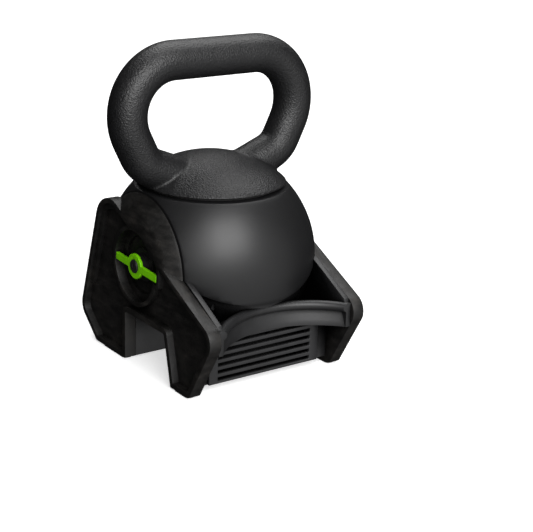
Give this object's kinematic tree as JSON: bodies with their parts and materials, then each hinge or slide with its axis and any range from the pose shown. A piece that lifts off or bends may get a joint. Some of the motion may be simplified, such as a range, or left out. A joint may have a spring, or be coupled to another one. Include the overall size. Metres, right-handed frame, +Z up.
{
  "type": "kettlebell",
  "caption": "Ball kettlebell with a cast D-shaped handle and cap, a smooth ball shell over an iron weight, and a flat-sided base with side plates locked by tee-handled pins.",
  "frame": {"origin": "on the floor under the middle of the overall box", "axes": "+Z up, +X along the handle bar, from one side plate to the other, +Y towards the steep rear edges, with the sloping front facing -Y"},
  "size_m": [0.1988, 0.2094, 0.2763],
  "materials": {
    "coated_iron": "pebbled black powder coat on cast iron, semi-matte",
    "raw_iron": "black enamelled casting, slightly rough",
    "shell_plastic": "satin black moulded skin with a very fine grain",
    "base_plastic": "satin black moulded plastic",
    "grille_plastic": "satin black moulded plastic",
    "plate_plastic": "black glass-filled plastic with a faint dusty mottle",
    "liner_plastic": "plain black plastic",
    "seal_rubber": "matte black rubber",
    "foot_rubber": "matte black rubber",
    "tee_plastic": "bright green moulded plastic, semi-gloss",
    "pin_steel": "black oxide steel",
    "washer_steel": "dark zinc",
    "black_screw": "black oxide steel screw",
    "bush_metal": "blackened sintered metal"
  },
  "bodies": {
    "kettlebell": {"handle": "coated_iron", "core_weight": "raw_iron", "socket_liner": "liner_plastic", "ball_shell": "shell_plastic", "cap_gasket": "seal_rubber", "core_mat": "seal_rubber", "base_tray": "base_plastic", "deck_screws": "black_screw", "front_beam": "base_plastic", "rear_beam": "base_plastic", "front_grille": "grille_plastic", "rear_grille": "grille_plastic", "side_plate_left": "plate_plastic", "foot_pads_left": "foot_rubber", "plate_screws_left": "black_screw", "pin_bush_left": "bush_metal", "side_plate_right": "plate_plastic", "foot_pads_right": "foot_rubber", "plate_screws_right": "black_screw", "pin_bush_right": "bush_metal"},
    "left_pin": {"lock_pin_left": "pin_steel", "pin_ring_left": "seal_rubber"},
    "left_tee": {"tee_handle_left": "tee_plastic", "tee_washer_left": "washer_steel", "tee_screw_left": "black_screw"},
    "right_pin": {"lock_pin_right": "pin_steel", "pin_ring_right": "seal_rubber"},
    "right_tee": {"tee_handle_right": "tee_plastic", "tee_washer_right": "washer_steel", "tee_screw_right": "black_screw"}
  },
  "joints": [
    {"name": "left_pin_pull", "type": "slide", "parent": "kettlebell", "child": "left_pin", "axis": [-1, 0, 0], "range_m": [0, 0.056]},
    {"name": "left_tee_turn", "type": "hinge", "parent": "left_pin", "child": "left_tee", "pos_m": [-0.072, 0.0137, 0.0888], "axis": [-1, 0, 0], "range_deg": [0, 12]},
    {"name": "right_pin_pull", "type": "slide", "parent": "kettlebell", "child": "right_pin", "axis": [1, 0, 0], "range_m": [0, 0.056]},
    {"name": "right_tee_turn", "type": "hinge", "parent": "right_pin", "child": "right_tee", "pos_m": [0.072, 0.0137, 0.0888], "axis": [-1, 0, 0], "range_deg": [0, 12]}
  ]
}
